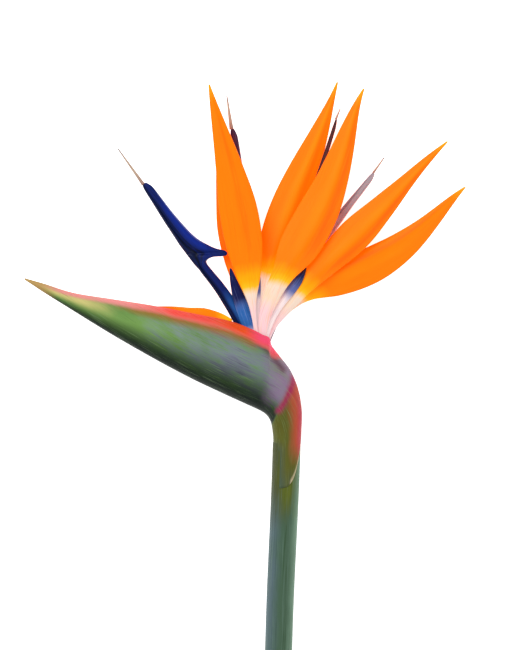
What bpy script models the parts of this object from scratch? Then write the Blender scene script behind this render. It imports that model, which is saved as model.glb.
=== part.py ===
# Bird of paradise flower (Strelitzia reginae), a cut stem lying on its side.
# Metres, +Z up. Seen from above, the stem runs towards -Y, the spathe's beak points to -X,
# and the four florets that have come out of its slit fan out to +Y and +X.
# Every length below is in millimetres, and places are (x, y, level), where the level is the
# height over or under the flower's mid plane.
import math

import bpy
import numpy as np

MM = 0.001
GAP = 0.3            # air left between pieces that touch
LEAF = 0.8           # thickness of a sepal along its edges

# Stem: its line from the cut end up into the elbow, as (y, x), and its sag onto the surface
STEM_LINE = ((-152.0, 16.4), (-107.0, 17.75), (-57.0, 20.0), (-32.0, 20.9), (-15.0, 21.4), (-3.5, 21.4))
STEM_WIDE = 7.15     # radius where the spathe's sheath ends on it
STEM_CUT = 6.75      # radius at the cut end
STEM_UNDER = 5.8     # radius inside the sheath
REST = -11.3         # level of the surface that the flower lies on
SHEATH_FOOT = -51.0  # the sheath's lowest point, on the belly side
SHEATH_NOTCH = -28.5  # where its two margins meet at the back
NOTCH_SHARP = 5      # how suddenly the margins drop from the notch to the foot
NOTCH_CLEAR = 0.05   # share of the stem's width that stays clear of the dropping margins
STEM_SIDES = 20

# Spathe: rows from the beak's tip, over the slit, round the elbow and down the sheath.
# keel x, keel y, back x, back y, half thickness, half opening between the margins
SPATHE_ROWS = (
    (-110.0, 53.0, -110.0, 53.9, 0.95, 0.85),
    (-100.3, 46.6, -99.3, 50.8, 2.0, 1.1),
    (-87.3, 38.5, -85.3, 46.5, 3.2, 1.3),
    (-67.8, 26.5, -64.8, 43.2, 5.2, 1.5),
    (-46.8, 14.4, -44.8, 40.0, 7.4, 2.4),
    (-27.3, 4.0, -25.8, 36.2, 9.2, 4.4),
    (-11.3, -3.6, -8.3, 32.7, 10.8, 5.6),
    (0.3, -8.9, 2.8, 28.7, 11.6, 8.0),
    (6.3, -11.6, 9.0, 25.6, 11.6, 8.0),
    (9.3, -13.2, 12.3, 24.1, 11.1, 7.2),
    (11.0, -14.6, 13.6, 20.0, 10.4, 4.6),
    (12.2, -16.2, 17.6, 14.8, 9.7, 2.9),
    (13.2, -18.6, 23.0, 7.6, 8.9, 1.7),
    (13.8, -22.0, 26.9, -2.0, 8.1, 1.2),
    (14.2, -26.5, 28.6, -12.5, 7.4, 1.0),
    (14.1, -34.5, 28.4, -22.5, 7.2, 1.0),
    (13.5, SHEATH_FOOT, 28.1, SHEATH_NOTCH, 7.15, 1.0),
)
SPATHE_WALL = 1.1
SHEATH_WALL = 0.8
SPATHE_STEPS = 2     # mesh rows for each row above
SPATHE_SIDES = 16    # mesh columns from margin to margin

# Half widths of sepals and hoods are given at these shares of the length, from root to tip
WIDTH_AT = (0.0, 0.08, 0.16, 0.26, 0.38, 0.52, 0.66, 0.80, 0.92, 1.0)

# Sepals: the midrib's handles from root to tip, the half widths, then the keel: its place
# across (-1 left, 1 right), and how steeply each side falls from it
SEPALS = {
    "floret_a_sepal_front": (
        ((6.5, 22.0, 5.9), (1.3, 53.4, 5.9), (0.5, 87.1, 9.2), (-10.9, 118.5, 11.9), (-17.7, 150.2, 9.5)),
        (1.2, 1.1, 2.4, 6.15, 9.15, 9.45, 7.1, 4.35, 2.0, 0.4), (0.15, 0.28, 0.36)),
    "floret_a_sepal_middle": (
        ((7.2, 22.0, -1.3), (-4.8, 58.6, -1.6), (-10.4, 96.9, -2.0), (-13.8, 133.0, -1.0)),
        (1.3, 2.0, 3.2, 4.6, 6.5, 7.0, 5.1, 3.0, 1.3, 0.4), (0.0, 0.18, 0.18)),
    "floret_a_sepal_back": (
        ((3.6, 21.5, -3.9), (1.6, 66.0, -8.6), (-4.5, 99.0, -10.5), (-15.2, 138.0, -8.0)),
        (1.6, 1.6, 2.2, 4.5, 7.4, 8.0, 6.0, 3.8, 1.7, 0.4), (0.1, -0.28, -0.28)),
    "floret_b_sepal_middle": (
        ((8.2, 21.5, -2.6), (4.3, 54.6, -2.6), (23.5, 94.9, -2.6), (35.0, 116.8, -2.4), (46.4, 152.0, -1.0)),
        (2.0, 2.4, 3.1, 4.9, 8.5, 9.2, 7.6, 4.75, 1.95, 0.4), (0.1, 0.20, 0.26)),
    "floret_b_sepal_front": (
        ((9.0, 21.5, 4.6), (6.1, 58.3, 7.2), (49.4, 79.3, 11.0), (44.1, 117.3, 11.0), (59.3, 148.0, 9.5)),
        (2.0, 2.6, 4.0, 5.6, 10.0, 10.1, 7.75, 5.05, 2.25, 0.4), (0.3, 0.26, 0.42)),
    "floret_b_sepal_back": (
        ((7.2, 21.5, -4.8), (7.3, 57.0, -8.6), (48.0, 80.0, -10.5), (42.5, 112.0, -9.5), (56.0, 140.0, -9.0)),
        (1.3, 1.7, 3.2, 5.6, 8.8, 9.0, 6.8, 4.3, 1.9, 0.4), (0.2, -0.26, -0.32)),
    "floret_c_sepal_front": (
        ((10.6, 21.5, 1.7), (14.5, 46.1, 1.9), (73.0, 84.5, 5.5), (68.7, 93.6, 9.0), (101.0, 121.8, 9.0)),
        (1.5, 2.4, 3.8, 4.65, 6.7, 8.35, 6.3, 3.6, 1.7, 0.4), (0.35, 0.22, 0.45)),
    "floret_c_sepal_middle": (
        ((10.8, 21.2, -1.2), (19.3, 63.2, -1.4), (71.1, 41.9, 0.0), (87.8, 80.8, 1.0), (110.3, 99.4, 2.0)),
        (1.3, 1.9, 3.3, 4.1, 7.9, 9.1, 7.45, 4.6, 2.2, 0.4), (-0.4, 0.35, 0.22)),
    "floret_c_sepal_back": (
        ((11.1, 21.0, -4.9), (15.5, 46.0, -6.9), (71.0, 83.0, -9.9), (67.0, 92.0, -11.8),
         (95.0, 116.5, -10.5)),
        (1.1, 1.3, 2.2, 3.6, 5.8, 7.0, 5.4, 3.2, 1.5, 0.4), (0.3, -0.22, -0.30)),
}
SEPAL_ROWS = 26
SEPAL_COLUMNS = 6
CLAW_FOLD = 0.25     # share of the fold that a sepal has at its root
FOLD_FULL = 0.4      # share of the length where the fold is whole
TIP_END = 0.994      # share of the length where a blade is cut off square

# Hoods: the small third petal of each floret, made as a short, deeply folded sepal
HOODS = {
    "floret_a_hood": (
        ((4.6, 22.0, 3.6), (0.9, 34.5, 3.7), (-4.7, 46.9, 4.2), (-7.1, 58.8, 4.6)),
        (1.4, 2.1, 2.8, 3.2, 3.35, 3.2, 2.8, 2.0, 1.2, 0.4), (0.0, 0.35, 0.35)),
    "floret_b_hood": (
        ((7.2, 23.0, 3.1), (6.2, 36.0, 3.1), (6.9, 43.7, 3.2), (7.2, 55.8, 3.4)),
        (0.9, 1.1, 1.3, 1.4, 1.4, 1.2, 1.1, 1.1, 0.8, 0.4), (0.0, 0.35, 0.35)),
    "floret_c_hood": (
        ((10.6, 22.0, 3.3), (9.1, 33.0, 3.7), (25.8, 49.4, 4.3), (30.6, 59.4, 4.4)),
        (1.0, 1.4, 1.7, 1.7, 1.7, 1.9, 2.4, 2.45, 1.4, 0.4), (0.1, 0.35, 0.35)),
}
HOOD_ROWS = 12
HOOD_COLUMNS = 4

# Arrow: the two fused petals. Seen from the side, measured back from the point along the
# shaft: belly distance, belly offset, back distance, back offset, half thickness
ARROW_ROWS = (
    (0.0, -0.5, 0.6, 1.6, 0.6),
    (3.0, -1.4, 4.0, 2.8, 1.0),
    (11.0, -2.4, 10.0, 2.8, 1.4),
    (21.0, -3.6, 20.0, 2.6, 1.8),
    (30.0, -4.4, 31.0, 3.1, 2.1),
    (34.0, -4.8, 38.0, 4.3, 2.2),
    (36.8, -4.9, 43.5, 6.6, 2.2),
    (38.5, -4.9, 47.2, 8.7, 2.1),
    (39.6, -4.9, 50.1, 11.2, 1.6),
    (40.3, -4.95, 51.9, 11.8, 1.0),
    (41.0, -4.95, 52.7, 10.6, 1.6),
    (42.0, -4.95, 51.6, 8.1, 1.9),
    (46.0, -4.95, 49.8, 5.6, 2.0),
    (48.5, -4.8, 49.0, 2.6, 2.0),
    (50.5, -4.6, 49.8, 0.6, 1.9),
    (54.0, -4.6, 54.0, 0.5, 1.8),
    (63.0, -4.3, 62.0, 1.2, 1.6),
    (74.0, -4.5, 73.0, 1.8, 1.3),
    (84.0, -4.4, 84.0, 2.2, 1.0),
    (95.0, -2.4, 95.0, 1.2, 0.8),
)
ARROW_STOUT = 2.8    # back offsets over this belong to the barb
ARROW_THIN = 0.35    # least half thickness
# across the section: share of its width, share of its half thickness; the dip is the groove
ARROW_SIDE = ((0.0, 0.25), (0.13, 0.75), (0.24, 0.5), (0.38, 0.95), (0.65, 1.0), (0.88, 0.65), (1.0, 0.2))
# the shaft's handles from root to point, its size against the form above, how far the barb
# stands out, then the stigma that stands out of the point: its end, and its radius at the root
ARROWS = {
    "a": (((3.2, 21.8, 0.5), (-0.7, 40.0, 0.5), (-29.0, 73.7, 2.5), (-50.8, 101.0, 4.0)),
          1.0, 1.0, (-63.2, 118.4, 4.6), 0.9),
    "b": (((6.8, 21.0, 0.2), (6.5, 48.0, 0.2), (0.5, 92.0, 2.0), (-6.6, 128.7, 2.6)),
          0.8, 0.5, (-8.9, 145.0, 2.8), 1.05),
    "c": (((9.8, 19.5, 0.2), (19.5, 45.0, 0.4), (35.6, 98.5, 2.0), (45.7, 133.5, 2.5)),
          0.42, 0.4, (47.7, 138.4, 2.6), 0.6),
    "d": (((10.9, 18.5, -3.4), (17.0, 44.0, -3.4), (46.4, 82.0, -1.5), (64.6, 106.9, -1.0)),
          0.65, 0.15, (69.8, 114.2, -0.8), 0.6),
}
ARROW_STEPS = 2
STIGMA_TIP = 0.4
STIGMA_SIDES = 8

# Bases: each floret's flat ovary, from its sepals down to the stem's top
BASES = {
    "a": ((3.6, 20.2), (6.0, 9.0), (15.9, -2.6)),
    "b": ((7.0, 19.1), (9.6, 9.2), (19.1, -2.6)),
    "c": ((10.2, 17.3), (13.2, 9.0), (22.3, -2.6)),
    "d": ((13.8, 13.4), (17.8, 7.0), (25.1, -2.2)),
}
BASE_HALF_WIDTH = 1.0
BASE_HALF_DEPTH = 4.2
BASE_SIDES = 12

# Next bud: its back stands out of the slit. x, belly y, back y, half thickness
BUD_ROWS = (
    (-45.0, 38.4, 39.8, 0.7),
    (-36.0, 34.5, 39.8, 1.9),
    (-28.0, 32.0, 39.2, 2.6),
    (-20.0, 30.0, 38.9, 2.8),
    (-12.0, 28.5, 36.5, 2.6),
    (-6.3, 29.4, 33.4, 1.0),
)
BUD_SIDES = 10


def through(rows, steps):
    """A smooth run of rows that passes through the given ones, steps of them to each."""
    rows = np.array(rows, float)
    padded = np.vstack([2 * rows[0] - rows[1], rows, 2 * rows[-1] - rows[-2]])
    run = []
    for before, start, end, after in zip(padded, padded[1:], padded[2:], padded[3:]):
        for t in np.arange(steps) / steps:
            run.append(0.5 * (2 * start + (end - before) * t
                              + (2 * before - 5 * start + 4 * end - after) * t ** 2
                              + (3 * start - before - 3 * end + after) * t ** 3))
    run.append(rows[-1])
    return np.array(run)


def bezier(handles, t):
    """Points of the curve that these handles pull, however many there are."""
    t = np.asarray(t, float)[:, None]
    run = [np.array(handle) + 0 * t for handle in handles]
    while len(run) > 1:
        run = [a + (b - a) * t for a, b in zip(run, run[1:])]
    return run[0]


def along(points, shares):
    """Places on a curve at these shares of its length, with the level direction across it."""
    fine = bezier(points, np.linspace(0, 1, 200))
    length = np.concatenate([[0], np.cumsum(np.linalg.norm(np.diff(fine[:, :2], axis=0), axis=1))])
    spots = np.column_stack([np.interp(shares * length[-1], length, fine[:, k]) for k in range(3)])
    ahead = np.column_stack([np.interp(shares * length[-1] + 0.5, length, fine[:, k]) for k in range(2)])
    behind = np.column_stack([np.interp(shares * length[-1] - 0.5, length, fine[:, k]) for k in range(2)])
    run = ahead - behind
    run /= np.linalg.norm(run, axis=1)[:, None]
    return spots, np.column_stack([run[:, 1], -run[:, 0]])


def strip(first, second):
    """Triangles between two rows of point numbers."""
    made = []
    for a, b, c, d in zip(first, first[1:], second[1:], second):
        made += [(a, b, c), (a, c, d)]
    return made


def sheet(front, back):
    """Triangles of a thin closed sheet: two grids of points, and the rim between them."""
    rows, columns = front.shape[:2]
    points = np.concatenate([front.reshape(-1, 3), back.reshape(-1, 3)])
    top = np.arange(rows * columns).reshape(rows, columns)
    under = top + rows * columns
    faces = []
    for i in range(rows - 1):
        faces += strip(top[i], top[i + 1])
        faces += [(a, c, b) for a, b, c in strip(under[i], under[i + 1])]
    faces += strip(top[:, 0], under[:, 0])
    faces += strip(under[:, -1], top[:, -1])
    faces += strip(under[0], top[0])
    faces += strip(top[-1], under[-1])
    return points, faces


def tube(rings):
    """Triangles of a closed tube through rings of points, with a flat cap at each end."""
    rows, sides = rings.shape[:2]
    points = np.concatenate([rings.reshape(-1, 3), [rings[0].mean(axis=0)], [rings[-1].mean(axis=0)]])
    ring = np.arange(rows * sides).reshape(rows, sides)
    ring = np.column_stack([ring, ring[:, 0]])
    faces = []
    for i in range(rows - 1):
        faces += strip(ring[i], ring[i + 1])
    first, last = rows * sides, rows * sides + 1
    faces += [(first, b, a) for a, b in zip(ring[0], ring[0][1:])]
    faces += [(last, a, b) for a, b in zip(ring[-1], ring[-1][1:])]
    return points, faces


def outward(points, faces):
    corners = points[np.array(faces)]
    if np.linalg.det(corners).sum() < 0:
        return [face[::-1] for face in faces]
    return faces


def add(name, points, faces, material):
    """One piece, pressed flat where it meets the surface that the flower lies on."""
    points[:, 2] = np.maximum(points[:, 2], REST)
    mesh = bpy.data.meshes.new(name)
    mesh.from_pydata((points * MM).tolist(), [], [tuple(map(int, f)) for f in outward(points, faces)])
    mesh.materials.append(material)
    for face in mesh.polygons:
        face.use_smooth = True
    mesh.set_sharp_from_angle(angle=math.radians(50))
    bpy.context.scene.collection.objects.link(bpy.data.objects.new(name, mesh))


def tissue(name, colour, roughness=0.45):
    material = bpy.data.materials.new(name)
    material.use_nodes = True
    skin = material.node_tree.nodes["Principled BSDF"]
    skin.inputs["Base Color"].default_value = (*colour, 1)
    skin.inputs["Roughness"].default_value = roughness
    return material


def sheath_edge(share):
    """Height of the sheath's lower edge, from the belly (0) round to the back (1)."""
    return SHEATH_FOOT + (SHEATH_NOTCH - SHEATH_FOOT) * share ** NOTCH_SHARP


def stem_line(y):
    """x and level of the stem's middle: it swings to -X and sags onto the surface at its foot."""
    heights, places = through(STEM_LINE, 6).T
    fall = np.clip((SHEATH_FOOT - y) / (SHEATH_FOOT - heights[0]), 0, 1)
    return np.interp(y, heights, places), (REST + STEM_CUT) * fall ** 1.3


def stem():
    angle = np.arange(STEM_SIDES) * 2 * math.pi / STEM_SIDES
    edge = sheath_edge(np.maximum(0, (1 - np.cos(angle)) / 2 - NOTCH_CLEAR)) - GAP
    cut, top = STEM_LINE[0][0], STEM_LINE[-1][0]
    rings = [(edge + (cut - edge) * fall, STEM_WIDE + (STEM_CUT - STEM_WIDE) * fall)
             for fall in np.linspace(1, 0, 9)]
    rings += [(edge + (top - 1.5 - edge) * rise, STEM_UNDER) for rise in (0, 0.3, 0.6, 1)]
    rings.append((top + 0 * edge, STEM_UNDER - 1.5))
    loops = []
    for y, radius in rings:
        x, level = stem_line(y)
        loops.append(np.column_stack([x - radius * np.cos(angle), y, level + radius * np.sin(angle)]))
    add("stem", *tube(np.array(loops)), tissue("waxy green stem", (0.12, 0.22, 0.16)))


def spathe():
    rows = through(SPATHE_ROWS, SPATHE_STEPS)
    turn = np.linspace(-1, 1, SPATHE_SIDES + 1)
    count = len(SPATHE_ROWS) - 1
    outer, inner = [], []
    for i, (kx, ky, bx, by, half, opening) in enumerate(rows):
        place = i / SPATHE_STEPS
        wall = SPATHE_WALL + (SHEATH_WALL - SPATHE_WALL) * min(1, max(0, place - 9) / 4)
        wall = min(wall, 0.8 * half, opening - 0.12)
        sharp = 1 if place < count - 2 else 1 + (NOTCH_SHARP - 1) * (place - count + 2) / 2
        for into, skin in ((0, outer), (wall, inner)):
            width = max(half - into, 0.15)
            lip = math.asin(min(1, max(opening - into, 0.12) / width))
            angle = turn * (math.pi - lip)
            share = (1 - np.cos(angle)) / (1 + math.cos(lip))
            depth = math.hypot(bx - kx, by - ky)
            share = share + (1 - share) * min(0.5, into / depth)
            x = kx + (bx - kx) * share
            y = ky + (by - ky) * share ** sharp
            skin.append(np.column_stack([x, y, width * np.sin(angle)]))
    add("spathe", *sheet(np.array(outer), np.array(inner)), tissue("spathe skin", (0.16, 0.24, 0.16)))


def keel(q, place, left, right):
    """Fall of the blade's face on either side of its keel, for a half width of 1."""
    soft = 0.15
    side = q - place
    round_off = np.sqrt(side ** 2 + soft ** 2)
    return -left * (round_off - side) / 2 - right * (round_off + side) / 2


def blade(name, midrib, widths, fold, rows, columns, material):
    """A sepal or hood: a narrow claw that widens into a folded, pointed blade."""
    s = np.linspace(0, 1, rows + 1)
    s[-1] = TIP_END
    spots, across = along(midrib, s)
    half = np.interp(s, *through(list(zip(WIDTH_AT, widths)), 4).T)
    q = np.linspace(-1, 1, columns + 1)
    fall = keel(q, *fold)
    folded = np.minimum(1, CLAW_FOLD + (1 - CLAW_FOLD) * s / FOLD_FULL)
    slope = np.abs(np.gradient(fall, q))
    thick = (LEAF + 0.3 * (1 - q ** 2)) * np.sqrt(1 + slope ** 2)
    x = spots[:, :1] + across[:, :1] * half[:, None] * q
    y = spots[:, 1:2] + across[:, 1:2] * half[:, None] * q
    level = spots[:, 2:] + (half * folded)[:, None] * fall
    front = np.stack([x, y, level + thick / 2], axis=2)
    back = np.stack([x, y, level - thick / 2], axis=2)
    add(name, *sheet(front, back), material)


def arrow(name, line, size, barb, material):
    form = through(ARROW_ROWS, ARROW_STEPS)
    whole = ARROW_ROWS[-1][0]
    back_off = np.where(form[:, 3] > ARROW_STOUT, ARROW_STOUT + (form[:, 3] - ARROW_STOUT) * barb, form[:, 3])
    low, low_across = along(line, 1 - form[:, 0] / whole)
    high, high_across = along(line, 1 - form[:, 2] / whole)
    belly = low[:, :2] + low_across * form[:, 1:2] * size
    back = high[:, :2] + high_across * back_off[:, None] * size
    middle = (low[:, 2] + high[:, 2]) / 2
    half = np.maximum(form[:, 4:] * size, ARROW_THIN)
    share, rise = np.array(ARROW_SIDE + tuple((u, -z) for u, z in reversed(ARROW_SIDE))).T
    rings = np.zeros((len(form), len(share), 3))
    rings[:, :, :2] = belly[:, None] + (back - belly)[:, None] * share[None, :, None]
    rings[:, :, 2] = middle[:, None] + half * rise
    add(name, *tube(rings), material)


def stigma(name, root, end, radius, material):
    reach = np.linalg.norm(end - root)
    run = (end - root) / reach
    side = np.array([run[1], -run[0], 0]) / math.hypot(run[0], run[1])
    up = np.cross(run, side)
    angle = np.arange(STIGMA_SIDES) * 2 * math.pi / STIGMA_SIDES
    circle = np.outer(np.cos(angle), side) + np.outer(np.sin(angle), up)
    rings = []
    for share in (0, 0.3, 0.65, 1):
        centre = root + run * (GAP + (reach - GAP) * share)
        rings.append(centre + circle * (radius + (STIGMA_TIP - radius) * share))
    add(name, *tube(np.array(rings)), material)


def base(name, line, material):
    top, middle, foot = (np.array(p) for p in line)
    t = np.linspace(0, 1, 8)[:, None]
    run = (1 - t) ** 2 * foot + 2 * (1 - t) * t * (2 * middle - (top + foot) / 2) + t ** 2 * top
    ahead = np.gradient(run, axis=0)
    ahead /= np.linalg.norm(ahead, axis=1)[:, None]
    across = np.column_stack([ahead[:, 1], -ahead[:, 0]])
    angle = np.arange(BASE_SIDES) * 2 * math.pi / BASE_SIDES
    rings = np.zeros((len(run), BASE_SIDES, 3))
    flat = across[:, None, :] * (BASE_HALF_WIDTH * np.cos(angle))[None, :, None]
    rings[:, :, :2] = run[:, None, :] + flat
    rings[:, :, 2] = BASE_HALF_DEPTH * np.sin(angle)
    add(name, *tube(rings), material)


def next_bud():
    angle = np.arange(BUD_SIDES) * 2 * math.pi / BUD_SIDES
    rings = []
    for x, belly, back, half in through(BUD_ROWS, 3):
        middle, tall = (belly + back) / 2, (back - belly) / 2
        rings.append(np.column_stack([0 * angle + x, middle + tall * np.cos(angle), half * np.sin(angle)]))
    add("next_bud", *tube(np.array(rings)), tissue("bud skin", (1.0, 0.35, 0.02)))


def florets():
    orange = tissue("orange sepal", (1.0, 0.26, 0.0))
    white = tissue("pale petal claw", (0.75, 0.6, 0.5))
    tan = tissue("dry tan stigma", (0.5, 0.32, 0.22))
    petals = {
        "a": tissue("blue arrow", (0.02, 0.03, 0.28), 0.35),
        "b": tissue("violet arrow", (0.06, 0.02, 0.08)),
        "c": tissue("brown ageing arrow", (0.08, 0.03, 0.03)),
        "d": tissue("withered lilac arrow", (0.4, 0.3, 0.4), 0.6),
    }
    for name, (midrib, widths, fold) in SEPALS.items():
        blade(name, midrib, widths, fold, SEPAL_ROWS, SEPAL_COLUMNS, orange)
    for name, (midrib, widths, fold) in HOODS.items():
        blade(name, midrib, widths, fold, HOOD_ROWS, HOOD_COLUMNS, petals["a"])
    for letter, (line, size, barb, end, radius) in ARROWS.items():
        arrow(f"floret_{letter}_arrow", line, size, barb, petals[letter])
        stigma(f"floret_{letter}_stigma", np.array(line[-1]), np.array(end), radius, tan)
    for letter, line in BASES.items():
        base(f"floret_{letter}_base", line, white)


def settle():
    """Puts the origin under the middle of the flower's box, on the surface it lies on."""
    low = np.full(3, np.inf)
    high = -low
    for piece in bpy.context.scene.objects:
        corners = np.array([v.co for v in piece.data.vertices])
        low, high = np.minimum(low, corners.min(axis=0)), np.maximum(high, corners.max(axis=0))
    shift = np.array([(low[0] + high[0]) / 2, (low[1] + high[1]) / 2, low[2]])
    for piece in bpy.context.scene.objects:
        for v in piece.data.vertices:
            v.co = np.array(v.co) - shift


for thing in list(bpy.data.objects):
    bpy.data.objects.remove(thing)
stem()
spathe()
next_bud()
florets()
settle()
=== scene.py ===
import math
import bpy
import numpy as np
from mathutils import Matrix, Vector


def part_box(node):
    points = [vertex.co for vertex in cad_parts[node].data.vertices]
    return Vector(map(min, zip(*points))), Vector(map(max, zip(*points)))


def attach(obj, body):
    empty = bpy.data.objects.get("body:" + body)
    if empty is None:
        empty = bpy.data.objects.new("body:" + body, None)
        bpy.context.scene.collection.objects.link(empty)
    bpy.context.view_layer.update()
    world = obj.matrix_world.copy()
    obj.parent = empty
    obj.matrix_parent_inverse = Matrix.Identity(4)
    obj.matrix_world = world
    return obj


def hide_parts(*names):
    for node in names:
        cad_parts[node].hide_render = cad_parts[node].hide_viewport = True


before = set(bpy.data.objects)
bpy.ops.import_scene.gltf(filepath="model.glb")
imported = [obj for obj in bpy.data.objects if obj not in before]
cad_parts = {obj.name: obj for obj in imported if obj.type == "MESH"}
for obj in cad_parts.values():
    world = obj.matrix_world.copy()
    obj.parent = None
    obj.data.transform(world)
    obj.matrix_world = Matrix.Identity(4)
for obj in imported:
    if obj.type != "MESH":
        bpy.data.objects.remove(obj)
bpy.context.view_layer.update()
mm = 0.001

# Plan: the flower is drawn in millimetres on its mid plane, as (x, y, level), and moved onto
# the frame by the beak's tip, the stem's foot and the height of the mid plane.
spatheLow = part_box("spathe")[0]
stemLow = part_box("stem")[0]
plan = {"beakTip": -110.0, "stemFoot": -152.0, "restLevel": -11.3}
planOrigin = np.array([
    spatheLow.x - plan["beakTip"] * mm,
    stemLow.y - plan["stemFoot"] * mm,
    -plan["restLevel"] * mm,
])


def linear(hexColour):
    parts = [int(hexColour[i:i + 2], 16) / 255 for i in (1, 3, 5)]
    return tuple(c / 12.92 if c <= 0.04045 else ((c + 0.055) / 1.055) ** 2.4 for c in parts) + (1.0,)


# Adds a node: settings are its properties, or its inputs by name or number
def addNode(tree, kind, settings=None, links=None):
    made = tree.nodes.new(kind)
    for key, value in (settings or {}).items():
        if isinstance(key, str) and key in made.bl_rna.properties:
            setattr(made, key, value)
        else:
            made.inputs[key].default_value = value
    for key, source in (links or {}).items():
        tree.links.new(source, made.inputs[key])
    return made


# Eased step, 0 at the first place and 1 at the second, which may be the lower of the two
def smooth(low, high, value):
    t = np.clip((value - low) / (high - low), 0, 1)
    return t * t * (3 - 2 * t)


# 1 on the middle, falling to 0 over this reach
def near(value, middle, reach):
    return np.exp(-((value - middle) / reach) ** 2)


# A zone is the ground that a colour lies on, its strength, and the places it fades between,
# 0 at the first number and full at the second; "near" is a stripe, by its middle and reach
def zoneMasks(zones, places, grounds=None):
    grounds = {"whole": 1.0, **(grounds or {})}
    masks = {}
    for name, (ground, strength, *fades) in zones.items():
        mask = strength * grounds[ground]
        for place, start, full in fades:
            if place == "near":
                mask = mask * near(places["across"], start, full)
            else:
                mask = mask * smooth(start, full, places[place])
        masks[name] = mask
    return masks


# Smooth curve through rows of numbers, with this many steps from each row to the next
def through(rows, steps):
    rows = np.array(rows, float)
    padded = np.vstack([2 * rows[0] - rows[1], rows, 2 * rows[-1] - rows[-2]])
    run = []
    for before, start, end, after in zip(padded, padded[1:], padded[2:], padded[3:]):
        for t in np.arange(steps) / steps:
            run.append(0.5 * (2 * start + (end - before) * t
                              + (2 * before - 5 * start + 4 * end - after) * t ** 2
                              + (3 * start - before - 3 * end + after) * t ** 3))
    run.append(rows[-1])
    return np.array(run)


# Bezier curve with any number of handles
def bezier(handles, t):
    t = np.asarray(t, float)[:, None]
    run = [np.array(handle) + 0 * t for handle in handles]
    while len(run) > 1:
        run = [a + (b - a) * t for a, b in zip(run, run[1:])]
    return run[0]


# points that measure a curve, mm either way that give its run, and steps between rows of numbers
curveSteps = {"fine": 400, "look": 0.5, "line": 8, "width": 12}


# Places at these shares of a curve's length, the level direction across it, and its length
def along(handles, shares):
    fine = bezier(handles, np.linspace(0, 1, curveSteps["fine"]))
    length = np.concatenate([[0], np.cumsum(np.linalg.norm(np.diff(fine[:, :2], axis=0), axis=1))])
    at = np.asarray(shares) * length[-1]
    spots = np.column_stack([np.interp(at, length, fine[:, k]) for k in range(3)])
    ahead, behind = at + curveSteps["look"], at - curveSteps["look"]
    run = np.column_stack([np.interp(ahead, length, fine[:, k]) - np.interp(behind, length, fine[:, k])
                           for k in range(2)])
    run /= np.linalg.norm(run, axis=1)[:, None]
    return spots, np.column_stack([run[:, 1], -run[:, 0]]), length[-1]


# One finished piece from points in plan millimetres, kept above the surface it lies on, with
# the attributes that its material reads
def makePiece(name, points, faces, material, skin, node):
    points = np.array(points, float)
    points[:, 2] = np.maximum(points[:, 2], plan["restLevel"])
    mesh = bpy.data.meshes.new(name)
    mesh.from_pydata(points * mm + planOrigin, [], faces)
    for key, values in skin.items():
        values = np.asarray(values, np.float32)
        flat = values.ndim == 1
        attribute = mesh.attributes.new(key, "FLOAT" if flat else "FLOAT_VECTOR", "POINT")
        attribute.data.foreach_set("value" if flat else "vector", values.ravel())
    mesh.materials.append(material)
    mesh.shade_smooth()
    mesh.update()
    piece = bpy.data.objects.new(name, mesh)
    bpy.context.scene.collection.objects.link(piece)
    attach(piece, "root")
    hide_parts(node)


# Quads between two rows of point numbers
def bands(first, second):
    return [(a, b, c, d) for a, b, c, d in zip(first, first[1:], second[1:], second)]


# Closed sheet: two grids of points back to back, joined all round their rim
def sheetFaces(rows, columns):
    top = np.arange(rows * columns).reshape(rows, columns)
    under = top + rows * columns
    faces = []
    for i in range(rows - 1):
        faces += bands(top[i + 1], top[i])
        faces += bands(under[i], under[i + 1])
    faces += bands(under[:, 0], top[:, 0])
    faces += bands(top[:, -1], under[:, -1])
    faces += bands(top[0], under[0])
    faces += bands(under[-1], top[-1])
    return [tuple(int(n) for n in face) for face in faces]


# Closed tube: rings of points joined one to the next, capped at both ends
def tubeFaces(rows, sides):
    ring = np.arange(rows * sides).reshape(rows, sides)
    ring = np.column_stack([ring, ring[:, 0]])
    faces = []
    for i in range(rows - 1):
        faces += bands(ring[i], ring[i + 1])
    faces = [tuple(int(n) for n in face) for face in faces]
    faces.append(tuple(int(n) for n in ring[0][:-1][::-1]))
    faces.append(tuple(int(n) for n in ring[-1][:-1]))
    return faces


# Plant skin: a base colour, colours laid over it where the piece's masks say, and fine
# lengthwise streaks whose width and length are real millimetres on the piece
skinGrain = {"streakDetail": 3.0, "streakRough": 0.6, "blotchDetail": 4.0, "blotchRough": 0.55,
             "blotchStretch": 0.4, "gate": 12.0, "darkAt": (0.56, 0.8), "lightAt": (0.44, 0.2)}


def grainNoise(tree, grain, wide, long, detail, rough):
    sized = addNode(tree, "ShaderNodeMapping", {"Scale": (1 / wide, 1 / long, 1 / wide)}, {"Vector": grain})
    return addNode(tree, "ShaderNodeTexNoise", {"Scale": 1.0, "Detail": detail, "Roughness": rough},
                   {"Vector": sized.outputs[0]}).outputs["Fac"]


# A colour over another one where its mask is, with an edge made ragged by the streaks
def layColour(tree, under, ragged, layer):
    mask, hexColour, rough = layer
    amount = addNode(tree, "ShaderNodeAttribute", {"attribute_name": mask}).outputs["Fac"]
    spread = addNode(tree, "ShaderNodeMath", {"operation": "MULTIPLY_ADD", 1: rough}, {0: ragged, 2: amount})
    gate = addNode(tree, "ShaderNodeMath", {"operation": "MULTIPLY", 1: skinGrain["gate"], "use_clamp": True},
                   {0: amount})  # nothing shows where the mask is empty
    kept = addNode(tree, "ShaderNodeMath", {"operation": "MULTIPLY", "use_clamp": True},
                   {0: spread.outputs[0], 1: gate.outputs[0]})
    return addNode(tree, "ShaderNodeMix", {"data_type": "RGBA", "B": linear(hexColour)},
                   {"Factor": kept.outputs[0], "A": under}).outputs["Result"]


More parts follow.
